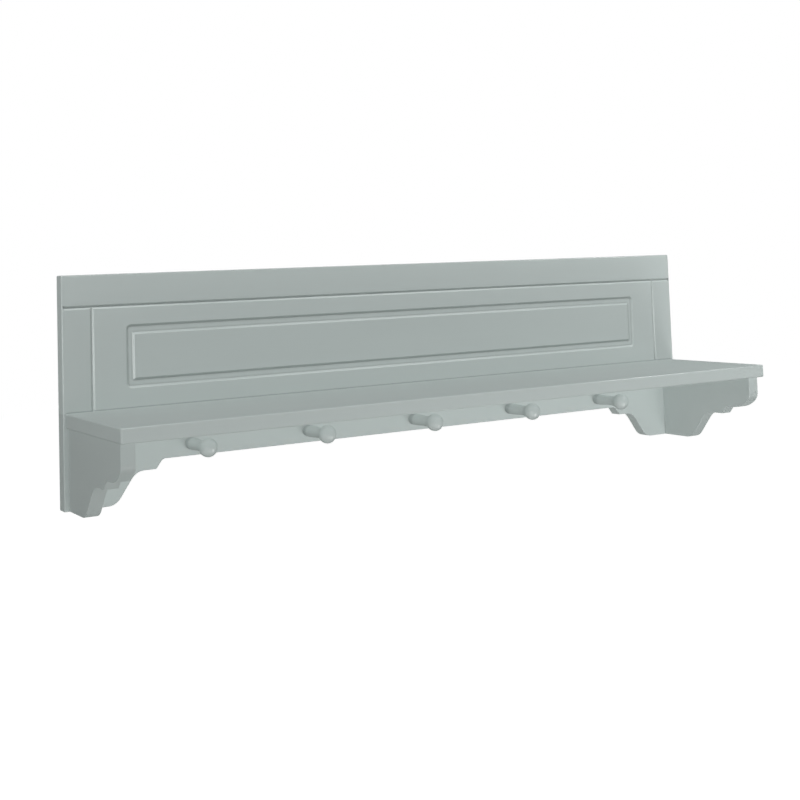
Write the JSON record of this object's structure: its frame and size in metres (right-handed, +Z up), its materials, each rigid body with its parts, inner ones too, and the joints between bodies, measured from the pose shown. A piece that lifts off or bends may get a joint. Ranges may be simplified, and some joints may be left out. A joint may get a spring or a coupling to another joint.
{
  "type": "peg rail with shelf",
  "caption": "Painted wooden wall shelf with a panelled back, turned coat pegs on the rail below it and scrolled end brackets.",
  "frame": {"origin": "on the wall face of the back, at the middle of the line between the two hanger holes", "axes": "+X along the shelf to the viewer's right, +Y into the wall, +Z up; the front faces -Y"},
  "size_m": [1.067, 0.2286, 0.305],
  "materials": {
    "paint": "satin grey-green paint, brushed",
    "beech": "raw turned beech",
    "plywood": "raw birch plywood",
    "zinc_steel": "bright zinc plate"
  },
  "bodies": {
    "root": {"top_rail": "paint", "left_stile": "paint", "right_stile": "paint", "centre_panel": "paint", "peg_rail": "paint", "shelf_board": "paint", "left_bracket": "paint", "right_bracket": "paint", "peg_1": "paint", "peg_2": "paint", "peg_3": "paint", "peg_4": "paint", "peg_5": "paint", "frame_dowels": "beech", "panel_tongue_top": "plywood", "panel_tongue_bottom": "plywood", "panel_tongue_left": "plywood", "panel_tongue_right": "plywood", "shelf_screws": "zinc_steel", "left_bracket_screws": "zinc_steel", "right_bracket_screws": "zinc_steel", "left_bracket_dowels": "beech", "right_bracket_dowels": "beech", "hanger_plate_left": "zinc_steel", "hanger_plate_right": "zinc_steel", "hanger_screws": "zinc_steel"}
  },
  "joints": []
}
